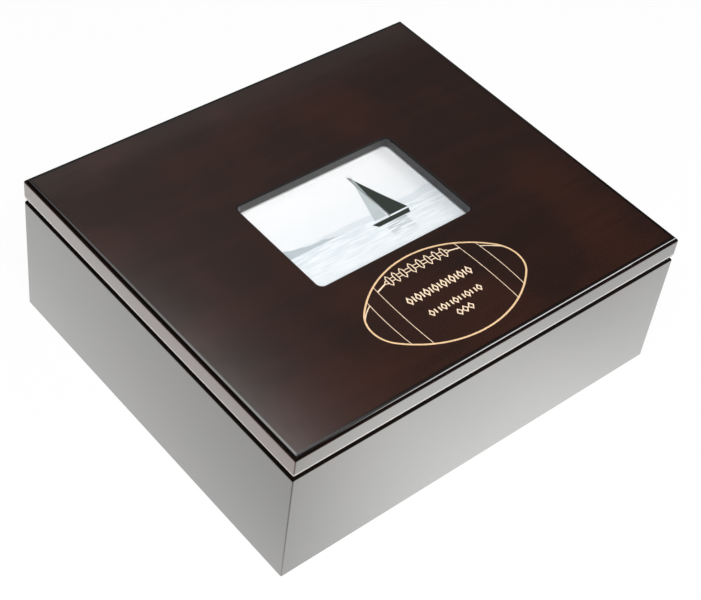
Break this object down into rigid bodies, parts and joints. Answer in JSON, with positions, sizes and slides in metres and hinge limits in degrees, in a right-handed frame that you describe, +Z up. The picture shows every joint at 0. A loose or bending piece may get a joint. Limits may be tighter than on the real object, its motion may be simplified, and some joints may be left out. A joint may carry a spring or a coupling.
{
  "type": "keepsake box",
  "caption": "Lacquered wooden keepsake box: mitred case, hinged flat lid with a glazed picture window, velvet linings and turn buttons behind the picture.",
  "frame": {"origin": "middle of the underside felt, on the surface the box stands on, centred on the wooden case", "axes": "+X to the right along the front, +Y from the front to the hinged back, +Z up; the lid is closed"},
  "size_m": [0.292, 0.2599, 0.1032],
  "materials": {
    "lacquered_wood": "dark mahogany stain under high-gloss clear lacquer",
    "bare_board": "unfinished fibreboard",
    "felt": "black pressed felt",
    "velvet": "black short-pile velvet on card",
    "bumper_rubber": "soft matt",
    "glass": "clear float glass",
    "print": "glossy photo paper",
    "card": "plain grey card",
    "brass": "polished brass plate"
  },
  "bodies": {
    "base": {"front_wall": "lacquered_wood", "right_wall": "lacquered_wood", "back_wall": "lacquered_wood", "left_wall": "lacquered_wood", "bottom_panel": "bare_board", "underside_felt": "felt", "rim_bumpers": "bumper_rubber", "front_lining": "velvet", "right_lining": "velvet", "back_lining": "velvet", "left_lining": "velvet", "floor_pad": "velvet", "left_hinge_base_leaf": "brass", "right_hinge_base_leaf": "brass", "left_hinge_pin": "brass", "right_hinge_pin": "brass", "base_hinge_screws": "brass"},
    "lid": {"lid_panel": "lacquered_wood", "lid_pad": "velvet", "window_glass": "glass", "picture_print": "print", "backing_card": "card", "backing_board": "velvet", "turn_button_screws": "brass", "left_hinge_lid_leaf": "brass", "right_hinge_lid_leaf": "brass", "lid_hinge_screws": "brass"},
    "turn_button_front_left": {"turn_button_front_left": "brass"},
    "turn_button_front_right": {"turn_button_front_right": "brass"},
    "turn_button_back_left": {"turn_button_back_left": "brass"},
    "turn_button_back_right": {"turn_button_back_right": "brass"}
  },
  "joints": [
    {"name": "lid_hinge", "type": "hinge", "parent": "base", "child": "lid", "pos_m": [0, 0.1298, 0.08695], "axis": [-1, 0, 0], "range_deg": [0, 95]},
    {"name": "turn_button_front_left_swivel", "type": "hinge", "parent": "lid", "child": "turn_button_front_left", "pos_m": [-0.04, -0.051, 0.089], "axis": [0, 0, 1], "range_deg": [-90, 90]},
    {"name": "turn_button_front_right_swivel", "type": "hinge", "parent": "lid", "child": "turn_button_front_right", "pos_m": [0.04, -0.051, 0.089], "axis": [0, 0, 1], "range_deg": [-90, 90]},
    {"name": "turn_button_back_left_swivel", "type": "hinge", "parent": "lid", "child": "turn_button_back_left", "pos_m": [-0.04, 0.051, 0.089], "axis": [0, 0, 1], "range_deg": [-90, 90]},
    {"name": "turn_button_back_right_swivel", "type": "hinge", "parent": "lid", "child": "turn_button_back_right", "pos_m": [0.04, 0.051, 0.089], "axis": [0, 0, 1], "range_deg": [-90, 90]}
  ]
}
